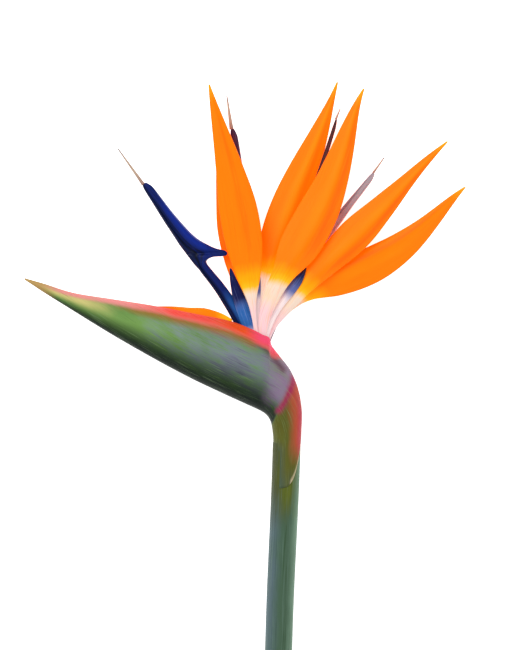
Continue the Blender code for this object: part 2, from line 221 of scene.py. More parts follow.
# Single streaks, darker or lighter than the ground
def layStreaks(tree, under, streak, reach, look):
    hexColour, strength = look
    low, high = reach
    amount = addNode(tree, "ShaderNodeMapRange", {"From Min": low, "From Max": high, "To Max": strength},
                     {"Value": streak})
    return addNode(tree, "ShaderNodeMix", {"data_type": "RGBA", "B": linear(hexColour)},
                   {"Factor": amount.outputs[0], "A": under}).outputs["Result"]


def makeSkin(name, look):
    material = bpy.data.materials.new(name)
    material.use_nodes = True
    tree = material.node_tree
    shader = tree.nodes["Principled BSDF"]
    grain = addNode(tree, "ShaderNodeAttribute", {"attribute_name": "grain"}).outputs["Vector"]
    streak = grainNoise(tree, grain, look["streakWide"], look["streakLong"],
                        skinGrain["streakDetail"], skinGrain["streakRough"])
    blotch = grainNoise(tree, grain, look["blotch"], look["blotch"] / skinGrain["blotchStretch"],
                        skinGrain["blotchDetail"], skinGrain["blotchRough"])
    ragged = addNode(tree, "ShaderNodeMath", {"operation": "ADD"}, {0: streak, 1: blotch})
    ragged = addNode(tree, "ShaderNodeMath", {"operation": "SUBTRACT", 1: 1.0}, {0: ragged.outputs[0]})
    colour = addNode(tree, "ShaderNodeMix", {"data_type": "RGBA", "A": linear(look["base"]), "Factor": 0.0})
    colour = colour.outputs["Result"]
    for layer in look["layers"]:
        colour = layColour(tree, colour, ragged.outputs[0], layer)
    colour = layStreaks(tree, colour, streak, skinGrain["darkAt"], look["dark"])
    colour = layStreaks(tree, colour, streak, skinGrain["lightAt"], look["light"])
    tree.links.new(colour, shader.inputs["Base Color"])
    shader.inputs["Roughness"].default_value = look["roughness"]
    shader.inputs["Specular IOR Level"].default_value = look["gloss"]
    inner = addNode(tree, "ShaderNodeAttribute", {"attribute_name": "inner"})  # painted glow that lifts the shade between neighbouring petals
    paintedGlow = addNode(tree, "ShaderNodeMath", {"operation": "ADD", 1: look["paintedGlow"]}, {0: inner.outputs["Fac"]})
    tree.links.new(colour, shader.inputs["Emission Color"])  # painted glow: emission in the skin's own colour stands in for light soaking through thin tissue and lifts its shade
    tree.links.new(paintedGlow.outputs[0], shader.inputs["Emission Strength"])
    relief = addNode(tree, "ShaderNodeBump", {"Strength": 1.0, "Distance": look["relief"] * mm},
                     {"Height": streak})
    tree.links.new(relief.outputs[0], shader.inputs["Normal"])
    return material


sepalLook = {
    # fresh sepal: thin, smooth and satin, with fine lengthwise veins; a painted glow in its own colour stands
    # in for light soaking through it
    "base": "#FF7000", "dark": ("#FC6200", 0.6), "light": ("#FF7E06", 0.5),
    "layers": (("foldShade", "#FA5C00", 0.5), ("stripe", "#FF8806", 0.4), ("yellow", "#FF9A02", 0.9),
               ("bright", "#FFB01C", 0.9), ("pale", "#D8C4B2", 0.8), ("pink", "#DCB8BE", 0.9),
               ("tip", "#D89A10", 0.3), ("edge", "#F26400", 0.3)),
    "streakWide": 0.7, "streakLong": 22.0, "blotch": 6.0,
    "roughness": 0.45, "gloss": 0.08, "paintedGlow": 0.34, "relief": 0.06,
}
# handles: its midline. keel: where the fold lies, -1 to 1 from edge to edge. fall: how far it drops
# to either side. foldShade: middle, reach and strength of a deeper orange, painted shade along the fold.
# stripe: strength of the
# paler midrib. yellowTo, creamTo: millimetres from the claw's foot. inner: strength of a painted glow that
# lifts shade near the claws
sepals = {
    "floret_a_sepal_front": {
        "handles": ((6.5, 22.0, 5.9), (1.3, 53.4, 5.9), (0.5, 87.1, 9.2),
                    (-10.9, 118.5, 11.9), (-17.7, 150.2, 9.5)),
        "widths": (1.2, 1.1, 2.4, 6.15, 9.15, 9.45, 7.1, 4.35, 2.0, 0.4),
        "keel": 0.15, "fall": (0.28, 0.36), "foldShade": (0.20, 0.16, 0.55),
        "stripe": 0.0, "yellowTo": 34.5, "creamTo": 24.0},
    "floret_a_sepal_middle": {
        "handles": ((7.2, 22.0, -1.3), (-4.8, 58.6, -1.6), (-10.4, 96.9, -2.0), (-13.8, 133.0, -1.0)),
        "widths": (1.3, 2.0, 3.2, 4.6, 6.5, 7.0, 5.1, 3.0, 1.3, 0.4),
        "keel": 0.0, "fall": (0.18, 0.18), "foldShade": (-0.6, 0.6, 0.8),
        "stripe": 0.0, "yellowTo": 34.0, "creamTo": 24.0},
    "floret_a_sepal_back": {
        "handles": ((3.6, 21.5, -3.9), (1.6, 66.0, -8.6), (-4.5, 99.0, -10.5), (-15.2, 138.0, -8.0)),
        "widths": (1.6, 1.6, 2.2, 4.5, 7.4, 8.0, 6.0, 3.8, 1.7, 0.4),
        "keel": 0.1, "fall": (-0.28, -0.28), "foldShade": (0.2, 0.2, 0.5),
        "stripe": 0.0, "yellowTo": 34.0, "creamTo": 24.0},
    "floret_b_sepal_middle": {
        "handles": ((8.2, 21.5, -2.6), (4.3, 54.6, -2.6), (23.5, 94.9, -2.6),
                    (35.0, 116.8, -2.4), (46.4, 152.0, -1.0)),
        "widths": (2.0, 2.4, 3.1, 4.9, 8.5, 9.2, 7.6, 4.75, 1.95, 0.4),
        "keel": 0.1, "fall": (0.2, 0.26), "foldShade": (0.35, 0.18, 0.6),
        "stripe": 0.6, "yellowTo": 39.0, "creamTo": 31.5, "inner": 0.5},
    "floret_b_sepal_front": {
        "handles": ((9.0, 21.5, 4.6), (6.1, 58.3, 7.2), (49.4, 79.3, 11.0),
                    (44.1, 117.3, 11.0), (59.3, 148.0, 9.5)),
        "widths": (2.0, 2.6, 4.0, 5.6, 10.0, 10.1, 7.75, 5.05, 2.25, 0.4),
        "keel": 0.3, "fall": (0.26, 0.42), "foldShade": (0.55, 0.30, 0.8),
        "stripe": 0.3, "yellowTo": 36.0, "creamTo": 28.5},
    "floret_b_sepal_back": {
        "handles": ((7.2, 21.5, -4.8), (7.3, 57.0, -8.6), (48.0, 80.0, -10.5),
                    (42.5, 112.0, -9.5), (56.0, 140.0, -9.0)),
        "widths": (1.3, 1.7, 3.2, 5.6, 8.8, 9.0, 6.8, 4.3, 1.9, 0.4),
        "keel": 0.2, "fall": (-0.26, -0.32), "foldShade": (0.4, 0.2, 0.5),
        "stripe": 0.0, "yellowTo": 37.0, "creamTo": 28.0},
    "floret_c_sepal_front": {
        "handles": ((10.6, 21.5, 1.7), (14.5, 46.1, 1.9), (73.0, 84.5, 5.5),
                    (68.7, 93.6, 9.0), (101.0, 121.8, 9.0)),
        "widths": (1.5, 2.4, 3.8, 4.65, 6.7, 8.35, 6.3, 3.6, 1.7, 0.4),
        "keel": 0.35, "fall": (0.22, 0.45), "foldShade": (0.6, 0.22, 0.9),
        "stripe": 0.3, "yellowTo": 37.5, "creamTo": 28.5},
    "floret_c_sepal_middle": {
        "handles": ((10.8, 21.2, -1.2), (19.3, 63.2, -1.4), (71.1, 41.9, 0.0),
                    (87.8, 80.8, 1.0), (110.3, 99.4, 2.0)),
        "widths": (1.3, 1.9, 3.3, 4.1, 7.9, 9.1, 7.45, 4.6, 2.2, 0.4),
        "keel": -0.4, "fall": (0.35, 0.22), "foldShade": (-0.55, 0.12, 0.7),
        "stripe": 0.2, "yellowTo": 37.0, "creamTo": 27.5},
    "floret_c_sepal_back": {
        "handles": ((11.1, 21.0, -4.9), (15.5, 46.0, -6.9), (71.0, 83.0, -9.9),
                    (67.0, 92.0, -11.8), (95.0, 116.5, -10.5)),
        "widths": (1.1, 1.3, 2.2, 3.6, 5.8, 7.0, 5.4, 3.2, 1.5, 0.4),
        "keel": 0.3, "fall": (-0.22, -0.3), "foldShade": (0.6, 0.2, 0.5),
        "stripe": 0.0, "yellowTo": 37.0, "creamTo": 28.0},
}
sepalMesh = {"rows": 150, "columns": 28, "thick": 0.8, "veinGap": 1.1, "veinHigh": 0.035, "waver": 0.25}

# Half widths are given at these shares of the length, from root to tip
widthAt = (0.0, 0.08, 0.16, 0.26, 0.38, 0.52, 0.66, 0.80, 0.92, 1.0)
bladeShape = {"clawFold": 0.25, "foldFull": 0.4, "tipRound": 0.5, "tipLeast": 0.02, "keelSoft": 0.12,
              "closingFrom": 0.985, "closing": (0.988, 0.991, 0.994, 0.9965, 0.9985, 1.0),
              "crown": 0.3, "rimPower": 14,
              "waverPace": 17, "waverStart": 6.28, "waverSkew": 0.3, "waverFull": 6,
              "apart": 7.3, "backApart": 3.1}  # the last two keep one blade's streaks unlike another's


def bladeWidth(s, length, shape):
    half = np.interp(s, *through(list(zip(widthAt, shape["widths"])), curveSteps["width"]).T)
    left = np.clip((1 - s) * length / bladeShape["tipRound"], 0, 1)  # the last bit closes to a round end
    return half * np.sqrt(np.maximum(1 - (1 - left) ** 2, bladeShape["tipLeast"]))


# How far a blade drops to each side of its keel, as a share of its half width
def keelFall(q, shape):
    left, right = shape["fall"]
    side = q - shape["keel"]
    bent = np.sqrt(side ** 2 + bladeShape["keelSoft"] ** 2)
    return -left * (bent - side) / 2 - right * (bent + side) / 2


# Top and underside of a blade, as grids of points: s runs along it, q from edge to edge
def bladeGrids(shape, rows, columns, seed):
    closing = bladeShape["closing"]
    s = np.concatenate([np.linspace(0, bladeShape["closingFrom"], rows + 1 - len(closing)), closing])
    spots, across, length = along(shape["handles"], s)
    half = bladeWidth(s, length, shape)
    folded = np.minimum(1, bladeShape["clawFold"] + (1 - bladeShape["clawFold"]) * s / bladeShape["foldFull"])
    q = np.sin(np.linspace(-1, 1, columns + 1) * math.pi / 2)
    fall = keelFall(q, shape)
    slope = np.abs(np.gradient(fall, q))
    phase = np.random.default_rng(seed).uniform(0, bladeShape["waverStart"])
    wide = half[:, None] * q
    waver = sepalMesh["waver"] * np.sin(s * bladeShape["waverPace"] + phase)[:, None]
    waver = waver * q ** 2 * np.sign(q + bladeShape["waverSkew"])
    waver = waver * np.minimum(1, half[:, None] / bladeShape["waverFull"])
    veins = sepalMesh["veinHigh"] * np.cos(wide * 2 * math.pi / sepalMesh["veinGap"])
    thick = (sepalMesh["thick"] + bladeShape["crown"] * (1 - q ** 2)) * np.sqrt(1 + slope ** 2)
    rim = np.sqrt(np.clip(1 - np.abs(q) ** bladeShape["rimPower"], 0, 1))
    level = spots[:, 2:] + (half * folded)[:, None] * fall + waver
    x = spots[:, :1] + across[:, :1] * wide
    y = spots[:, 1:2] + across[:, 1:2] * wide
    top = np.stack([x, y, level + (thick / 2 + veins) * rim], axis=2)
    under = np.stack([x, y, level - (thick / 2 + veins) * rim], axis=2)
    return s, q, wide, length, top, under


# The claws pale with their distance from the foot that they share
clawFoot = (8.75, 24.0)
sepalZones = {
    "pale": ("whole", 1.0, ("pastCream", 2.5, -2.5)),
    "pink": ("whole", 0.85, ("away", 23.0, 12.0)),
    "bright": ("whole", 0.8, ("pastCream", 6.0, 1.0)),
    "yellow": ("whole", 0.9, ("pastYellow", 5.0, -4.5)),
    # painted glow: lifts the shade in the valley between sepals near their claws
    "inner": ("inner", 1.0, ("away", 52.0, 22.0)),
    "tip": ("whole", 0.8, ("along", 0.92, 1.0)),
    # painted shade: a deeper orange on the half of the fold turned from the light, and in its crease
    "foldShade": ("foldShade", 1.0, ("along", 0.3, 0.45), ("along", 0.97, 0.8)),
    "stripe": ("stripe", 1.0, ("near", 0.0, 0.3), ("along", 0.3, 0.5)),
    "edge": ("whole", 0.4, ("toEdge", 0.93, 1.0), ("along", 0.35, 0.45)),
}


def sepalMasks(places, shape):
    middle, reach, depth = shape["foldShade"]
    places["pastCream"] = places["away"] - shape["creamTo"]
    places["pastYellow"] = places["away"] - shape["yellowTo"]
    grounds = {"foldShade": near(places["across"], middle, reach) * depth, "stripe": shape["stripe"],
               "inner": shape.get("inner", 0.0)}
    return zoneMasks(sepalZones, places, grounds)


def makeBlade(name, shape, size, masks, material, seed):
    s, q, wide, length, top, under = bladeGrids(shape, size["rows"], size["columns"], seed)
    points = np.concatenate([top.reshape(-1, 3), under.reshape(-1, 3)])
    longWay = (s * length)[:, None] + 0 * wide
    grain = np.stack([wide, longWay, 0 * wide + seed * bladeShape["apart"]], axis=2).reshape(-1, 3)
    skin = {"grain": np.concatenate([grain, grain + np.array([0, 0, bladeShape["backApart"]])])}
    away = np.hypot(top[:, :, 0] - clawFoot[0], top[:, :, 1] - clawFoot[1])
    places = {"along": s[:, None], "across": q, "toEdge": np.abs(q), "away": away}
    for key, values in masks(places, shape).items():
        flat = (values + 0 * wide).ravel()
        skin[key] = np.concatenate([flat, flat])
    makePiece(name + "_skin", points, sheetFaces(*wide.shape), material, skin, name)


orangeSkin = makeSkin("fresh orange sepal", sepalLook)
for number, (name, shape) in enumerate(sepals.items()):
    makeBlade(name, shape, sepalMesh, sepalMasks, orangeSkin, number + 1)
print("sepals done")

hoodLook = {
    # hood: a small stiff petal, smooth and inky at its tip, paling to its foot
    "base": "#56619C", "dark": ("#1E2660", 0.5), "light": ("#8A94C4", 0.5),
    "layers": (("deep", "#0A1246", 0.4), ("foot", "#2A62A8", 0.4), ("pale", "#E0CCCA", 0.4),
               ("tip", "#2C0E1C", 0.3)),
    "streakWide": 0.5, "streakLong": 12.0, "blotch": 4.0,
    "roughness": 0.4, "gloss": 0.12, "paintedGlow": 0.12, "relief": 0.05,
}
# paleTo, inkFrom: shares of the length. blueFoot, redTip: strengths
hoods = {
    "floret_a_hood": {
        "handles": ((4.6, 22.0, 3.6), (0.9, 34.5, 3.7), (-4.7, 46.9, 4.2), (-7.1, 58.8, 4.6)),
        "widths": (1.4, 2.1, 2.8, 3.2, 3.35, 3.2, 2.8, 2.0, 1.2, 0.4),
        "keel": 0.0, "fall": (0.35, 0.35), "paleTo": 0.14, "inkFrom": 0.50, "blueFoot": 1.0, "redTip": 0.0},
    "floret_b_hood": {
        "handles": ((7.2, 23.0, 3.1), (6.2, 36.0, 3.1), (6.9, 43.7, 3.2), (7.2, 55.8, 3.4)),
        "widths": (0.9, 1.1, 1.3, 1.4, 1.4, 1.2, 1.1, 1.1, 0.8, 0.4),
        "keel": 0.0, "fall": (0.35, 0.35), "paleTo": 0.66, "inkFrom": 0.88, "blueFoot": 0.0, "redTip": 0.4},
    "floret_c_hood": {
        "handles": ((10.6, 22.0, 3.3), (9.1, 33.0, 3.7), (25.8, 49.4, 4.3), (30.6, 59.4, 4.4)),
        "widths": (1.0, 1.4, 1.7, 1.7, 1.7, 1.9, 2.4, 2.45, 1.4, 0.4),
        "keel": 0.1, "fall": (0.35, 0.35), "paleTo": 0.60, "inkFrom": 0.78, "blueFoot": 0.0, "redTip": 1.0},
}
hoodMesh = {"rows": 60, "columns": 18, "firstSeed": 21}
hoodZones = {
    "pale": ("whole", 1.0, ("pastPale", 0.1, -0.08)),
    "foot": ("blueFoot", 1.0, ("pastInk", 0.1, -0.1)),
    "deep": ("whole", 1.0, ("pastInk", -0.08, 0.12)),
    "tip": ("redTip", 1.0, ("along", 0.86, 0.97)),
    # painted glow: lifts the shade on the hood's pale foot
    "inner": ("whole", 0.25, ("pastPale", 0.15, -0.05)),
}


def hoodMasks(places, shape):
    places["pastPale"] = places["along"] - shape["paleTo"]
    places["pastInk"] = places["along"] - shape["inkFrom"]
    return zoneMasks(hoodZones, places, {"blueFoot": shape["blueFoot"], "redTip": shape["redTip"]})


hoodSkin = makeSkin("inky hood petal", hoodLook)
for number, (name, shape) in enumerate(hoods.items()):
    makeBlade(name, shape, hoodMesh, hoodMasks, hoodSkin, number + hoodMesh["firstSeed"])
print("hoods done")

# Arrows: the two fused petals, measured back from the point along the shaft as
# belly distance, belly offset, back distance, back offset, half thickness
arrowRows = (
    (0.0, -0.5, 0.6, 1.6, 0.6),
    (3.0, -1.4, 4.0, 2.8, 1.0),
    (11.0, -2.4, 10.0, 2.8, 1.4),
    (21.0, -3.6, 20.0, 2.6, 1.8),
    (30.0, -4.4, 31.0, 3.1, 2.1),
    (34.0, -4.8, 38.0, 4.3, 2.2),
    (36.8, -4.9, 43.5, 6.6, 2.2),
    (38.5, -4.9, 47.2, 8.7, 2.1),
    (39.6, -4.9, 50.1, 11.2, 1.6),
    (40.3, -4.95, 51.9, 11.8, 1.0),
    (41.0, -4.95, 52.7, 10.6, 1.6),
    (42.0, -4.95, 51.6, 8.1, 1.9),
    (46.0, -4.95, 49.8, 5.6, 2.0),
    (48.5, -4.8, 49.0, 2.6, 2.0),
    (50.5, -4.6, 49.8, 0.6, 1.9),
    (54.0, -4.6, 54.0, 0.5, 1.8),
    (63.0, -4.3, 62.0, 1.2, 1.6),
    (74.0, -4.5, 73.0, 1.8, 1.3),
    (84.0, -4.4, 84.0, 2.2, 1.0),
    (95.0, -2.4, 95.0, 1.2, 0.8),
)
# Section of an arrow: share of the way from belly to back, share of the half thickness
arrowSide = ((0.0, 0.25), (0.13, 0.75), (0.24, 0.5), (0.38, 0.95), (0.65, 1.0), (0.88, 0.65), (1.0, 0.2))
# size: of the whole section. barb: how far the barb still stands out. Both are 1 on a fresh arrow
arrows = {
    "a": {"handles": ((3.2, 21.8, 0.5), (-0.7, 40.0, 0.5), (-29.0, 73.7, 2.5), (-50.8, 101.0, 4.0)),
          "size": 1.0, "barb": 1.0, "stigmaEnd": (-63.2, 118.4, 4.6), "stigmaRoot": 0.9, "slot": "petal_blue"},
    "b": {"handles": ((6.8, 21.0, 0.2), (6.5, 48.0, 0.2), (0.5, 92.0, 2.0), (-6.6, 128.7, 2.6)),
          "size": 0.8, "barb": 0.5, "stigmaEnd": (-8.9, 145.0, 2.8), "stigmaRoot": 1.05,
          "slot": "petal_violet"},
    "c": {"handles": ((9.8, 19.5, 0.2), (19.5, 45.0, 0.4), (35.6, 98.5, 2.0), (45.7, 133.5, 2.5)),
          "size": 0.42, "barb": 0.4, "stigmaEnd": (47.7, 138.4, 2.6), "stigmaRoot": 0.6, "slot": "petal_brown"},
    "d": {"handles": ((10.9, 18.5, -3.4), (17.0, 44.0, -3.4), (46.4, 82.0, -1.5), (64.6, 106.9, -1.0)),
          "size": 0.65, "barb": 0.15, "stigmaEnd": (69.8, 114.2, -0.8), "stigmaRoot": 0.6,
          "slot": "petal_withered"},
}
arrowLooks = {
    # fresh arrow: two petals pressed together, smooth and slightly waxy, deep blue
    "a": ("blue arrow petals", {
        "base": "#071A5E", "dark": ("#040A28", 0.7), "light": ("#14348E", 0.5),
        "layers": (("belly", "#0A1430", 0.3), ("bright", "#0A2688", 0.4), ("grooveShade", "#040A20", 0.2),
                   ("foot", "#20589E", 0.5), ("pale", "#86A8C8", 0.5), ("edgeHighlight", "#7486BE", 0.3),
                   ("barb", "#22103C", 0.3)),
        "streakWide": 0.5, "streakLong": 18.0, "blotch": 6.0,
        "roughness": 0.36, "gloss": 0.14, "paintedGlow": 0.08, "relief": 0.05}),
    # ageing arrow, turned purple and dry; the paler lilac along its back edge is a painted highlight
    "b": ("violet ageing arrow petals", {
        "base": "#43223E", "dark": ("#1C0A1C", 0.8), "light": ("#7A5874", 0.6),
        "layers": (("edgeHighlight", "#A68CA0", 0.5), ("bright", "#4A2A50", 0.3)),
        "streakWide": 0.5, "streakLong": 10.0, "blotch": 4.0,
        "roughness": 0.55, "gloss": 0.12, "paintedGlow": 0.0, "relief": 0.10}),
    # dried arrow, brown and papery
    "c": ("brown dried arrow petals", {
        "base": "#4A2C30", "dark": ("#1E0E14", 0.9), "light": ("#8C7270", 0.7),
        "layers": (("edgeHighlight", "#A08C8A", 0.6),),
        "streakWide": 0.4, "streakLong": 9.0, "blotch": 4.0,
        "roughness": 0.6, "gloss": 0.12, "paintedGlow": 0.0, "relief": 0.15}),
    # withered arrow, faded to lilac grey with dark veins
    "d": ("lilac withered arrow petals", {
        "base": "#A29AA2", "dark": ("#3E2A38", 1.0), "light": ("#CCC6C6", 0.7),
        "layers": (("belly", "#8E8490", 0.6), ("edgeHighlight", "#C4BCC0", 0.4)),
        "streakWide": 0.6, "streakLong": 14.0, "blotch": 4.0,
        "roughness": 0.6, "gloss": 0.12, "paintedGlow": 0.06, "relief": 0.2}),
}
# back offsets over "stout" belong to the barb
arrowMesh = {"steps": 8, "sideSteps": 6, "stout": 2.8, "thin": 0.35}
# across is 0 at the belly and 1 at the back; reach is the distance from the point
arrowZones = {
    # painted shade: the belly side is darkened as the side turned from the light
    "belly": ("whole", 0.8, ("across", 0.42, 0.20)),
    # painted shade: the grooves where the petals meet are darkened as shaded recesses
    "grooveShade": ("grooves", 1.0, ("reach", 6.0, 14.0), ("reach", 86.0, 70.0)),
    # painted light: a lighter band along the upper face, where the light falls
    "bright": ("whole", 0.9, ("near", 0.75, 0.2), ("reach", 8.0, 20.0), ("reach", 50.0, 40.0)),
    # painted highlight along the back edge
    "edgeHighlight": ("whole", 0.8, ("across", 0.86, 1.0), ("reach", 3.0, 12.0), ("reach", 44.0, 36.0)),
    "foot": ("whole", 1.0, ("across", 0.25, 0.6), ("reach", 64.0, 78.0)),
    "pale": ("whole", 0.8, ("across", 0.3, 0.7), ("reach", 84.0, 94.0)),
    "barb": ("whole", 1.0, ("offset", 8.0, 11.0), ("reach", 50.0, 46.0)),
}
arrowGrooves = ((0.24, 0.05), (0.40, 0.035))  # where the petals meet, and how wide each groove is


def arrowGrid(shape):
    form = through(arrowRows, arrowMesh["steps"])
    whole, stout = arrowRows[-1][0], arrowMesh["stout"]
    backOff = np.where(form[:, 3] > stout, stout + (form[:, 3] - stout) * shape["barb"], form[:, 3])
    low, lowAcross, length = along(shape["handles"], 1 - form[:, 0] / whole)
    high, highAcross, length = along(shape["handles"], 1 - form[:, 2] / whole)
    belly = low[:, :2] + lowAcross * form[:, 1:2] * shape["size"]
    back = high[:, :2] + highAcross * backOff[:, None] * shape["size"]
    level = (low[:, 2] + high[:, 2]) / 2
    side = through(arrowSide, arrowMesh["sideSteps"])
    share = np.concatenate([side[:, 0], side[::-1, 0]])
    rise = np.concatenate([side[:, 1], -side[::-1, 1]])
    grid = np.zeros((len(form), len(share), 3))
    grid[:, :, :2] = belly[:, None] + (back - belly)[:, None] * share[None, :, None]
    grid[:, :, 2] = level[:, None] + np.maximum(form[:, 4:] * shape["size"], arrowMesh["thin"]) * rise
    reach = form[:, :1] + (form[:, 2:3] - form[:, :1]) * share
    offset = form[:, 1:2] + (form[:, 3:4] - form[:, 1:2]) * share
    return grid, reach, offset, share + 0 * reach


def makeArrow(letter, shape):
    name, look = arrowLooks[letter]
    grid, reach, offset, share = arrowGrid(shape)
    grooves = np.maximum(*(near(share, middle, wide) for middle, wide in arrowGrooves))
    masks = zoneMasks(arrowZones, {"across": share, "reach": reach, "offset": offset}, {"grooves": grooves})
    skin = {key: values.ravel() for key, values in masks.items()}
    skin["grain"] = np.stack([offset, reach, 0 * reach + ord(letter)], axis=2).reshape(-1, 3)
    makePiece(f"floret_{letter}_arrow_skin", grid.reshape(-1, 3), tubeFaces(*reach.shape), makeSkin(name, look),
              skin, f"floret_{letter}_arrow")


# Stigmas: the dry ends of the styles
stigmaShape = {"tip": 0.25, "rows": 24, "sides": 14, "gap": -0.5, "ribs": 5, "ribDeep": 0.08}
stigmaLook = {
    # dry style: papery and ribbed along its length
    "base": "#B39A86", "dark": ("#5E463C", 0.8), "light": ("#D8CABC", 0.7),
    "layers": (("tip", "#7C665C", 0.3), ("foot", "#A07E72", 0.4)),
    "streakWide": 0.3, "streakLong": 5.0, "blotch": 2.0, "girth": 0.75,
    "roughness": 0.6, "gloss": 0.12, "paintedGlow": 0.05, "relief": 0.12,
}
stigmaZones = {"tip": ("whole", 1.0, ("along", 0.7, 1.0)), "foot": ("whole", 1.0, ("along", 0.3, 0.0))}


def makeStigma(letter, shape, material):
    root, end = np.array(shape["handles"][-1]), np.array(shape["stigmaEnd"])
    reach = np.linalg.norm(end - root)
    run = (end - root) / reach
    side = np.array([run[1], -run[0], 0]) / math.hypot(run[0], run[1])
    up = np.cross(run, side)
    angle = np.arange(stigmaShape["sides"]) * 2 * math.pi / stigmaShape["sides"]
    share = np.linspace(0, 1, stigmaShape["rows"])
    radius = shape["stigmaRoot"] + (stigmaShape["tip"] - shape["stigmaRoot"]) * share
    ribbed = radius[:, None] * (1 - stigmaShape["ribDeep"] * np.cos(angle * stigmaShape["ribs"]))
    middle = root + run * (stigmaShape["gap"] + (reach - stigmaShape["gap"]) * share)[:, None]
    grid = middle[:, None] + ribbed[:, :, None] * (np.cos(angle)[:, None] * side + np.sin(angle)[:, None] * up)
    longWay = (reach * share)[:, None] + 0 * angle
    masks = zoneMasks(stigmaZones, {"along": share[:, None] + 0 * angle})
    skin = {key: values.ravel() for key, values in masks.items()}
    skin["grain"] = np.stack([angle * stigmaLook["girth"] + 0 * longWay, longWay, 0 * longWay + ord(letter)],
                             axis=2).reshape(-1, 3)
    makePiece(f"floret_{letter}_stigma_skin", grid.reshape(-1, 3), tubeFaces(*longWay.shape), material, skin,
              f"floret_{letter}_stigma")


stigmaSkin = makeSkin("dry style tissue", stigmaLook)
for letter, shape in arrows.items():
    makeArrow(letter, shape)
    makeStigma(letter, shape, stigmaSkin)
print("arrows done")

# Next bud, in the slit: x, belly y, back y, half thickness
budRows = (
    (-45.0, 38.4, 39.8, 0.7),
    (-36.0, 34.5, 39.8, 1.9),
    (-28.0, 32.0, 39.2, 2.6),
    (-20.0, 30.0, 38.9, 2.8),
    (-12.0, 28.5, 36.5, 2.6),
    (-6.3, 29.4, 33.4, 1.0),
)
budLook = {
    # bud: sepals still rolled together, smooth and bright
    "base": "#FF7400", "dark": ("#F66200", 0.5), "light": ("#FF8E08", 0.5),
    "layers": (("yellow", "#FFAE10", 0.5), ("deep", "#F85A00", 0.4)),
    "streakWide": 0.6, "streakLong": 14.0, "blotch": 5.0,
    "roughness": 0.4, "gloss": 0.08, "paintedGlow": 0.3, "relief": 0.05,
}
budMesh = {"steps": 12, "sides": 28, "girth": 3}
budZones = {"yellow": ("whole", 1.0, ("x", -16.0, -8.0)), "deep": ("whole", 1.0, ("x", -30.0, -40.0))}


def makeBud():
    sides = budMesh["sides"]
    angle = np.arange(sides) * 2 * math.pi / sides
    rows = through(budRows, budMesh["steps"])
    x, belly, back, half = rows.T
    middle, tall = (belly + back) / 2, (back - belly) / 2
    grid = np.zeros((len(rows), sides, 3))
    grid[:, :, 0] = x[:, None]
    grid[:, :, 1] = middle[:, None] + tall[:, None] * np.cos(angle)
    grid[:, :, 2] = half[:, None] * np.sin(angle)
    longWay = x[:, None] + 0 * angle
    skin = {key: values.ravel() for key, values in zoneMasks(budZones, {"x": longWay}).items()}
    around = angle * budMesh["girth"] + 0 * longWay
    skin["grain"] = np.stack([around, longWay, 0 * longWay], axis=2).reshape(-1, 3)
    makePiece("next_bud_skin", grid.reshape(-1, 3), tubeFaces(len(rows), sides),
              makeSkin("orange bud sepals", budLook), skin, "next_bud")


makeBud()
print("bud done")

# Spathe: keel x, keel y, back x, back y, half thickness, half opening of the slit
spatheRows = (
    (-110.0, 53.0, -110.0, 53.9, 0.95, 0.85),
    (-100.3, 46.6, -99.3, 50.8, 2.0, 1.1),
    (-87.3, 38.5, -85.3, 46.5, 3.2, 1.3),
    (-67.8, 26.5, -64.8, 43.2, 5.2, 1.5),
    (-46.8, 14.4, -44.8, 40.0, 7.4, 2.4),
    (-27.3, 4.0, -25.8, 36.2, 9.2, 4.4),
    (-11.3, -3.6, -8.3, 32.7, 10.8, 5.6),
    (0.3, -8.9, 2.8, 28.7, 11.6, 8.0),
    (6.3, -11.6, 9.0, 25.6, 11.6, 8.0),
    (9.3, -13.2, 12.3, 24.1, 11.1, 7.2),
    (11.0, -14.6, 13.6, 20.0, 10.4, 4.6),
    (12.2, -16.2, 17.6, 14.8, 9.7, 2.9),
    (13.2, -18.6, 23.0, 7.6, 8.9, 1.7),
    (13.8, -22.0, 26.9, -2.0, 8.1, 1.2),
    (14.2, -26.5, 28.6, -12.5, 7.4, 1.0),
    (14.1, -34.5, 28.4, -22.5, 7.2, 1.0),
    (13.5, -51.0, 28.1, -28.5, 7.15, 1.0),
)
spatheShape = {"steps": 12, "sides": 96, "wall": 1.1, "sheathWall": 0.8, "sheathFrom": 9, "thinOver": 4,
               "notchSharp": 5, "notchRows": 2, "wallMost": 0.8, "lipLeast": 0.12, "skinLeast": 0.15,
               "lipShare": 0.5, "insideApart": 9.0}
spatheLook = {
    # spathe: a thick waxy leaf, green under a grey bloom that has rubbed off in streaks
    "base": "#5C8040", "dark": ("#2C4628", 0.6), "light": ("#94AC84", 0.4),
    "layers": (("midGreen", "#749C50", 0.7), ("lime", "#D2C47C", 0.4), ("bloom", "#848F9C", 1.9),
               ("purple", "#5A4A66", 1.6), ("keelShade", "#0E1A14", 0.25), ("violet", "#8C7290", 0.8),
               ("darkLine", "#54283A", 0.5), ("amber", "#96601C", 0.8), ("salmon", "#E48A88", 0.5),
               ("coral", "#EA4C42", 0.5), ("flameRim", "#E04A14", 0.6), ("hotPink", "#EE4A70", 0.4),
               ("olive", "#5A5A20", 0.7), ("stemGreen", "#46584A", 0.8), ("blush", "#B84A34", 0.5),
               ("blushEdge", "#B4304A", 0.5), ("magenta", "#9C2A54", 0.6), ("beak", "#B88A52", 0.4),
               ("margin", "#CDBB98", 0.1)),
    "streakWide": 0.5, "streakLong": 16.0, "blotch": 6.0,
    "roughness": 0.5, "gloss": 0.10, "paintedGlow": 0.0, "relief": 0.08,
}


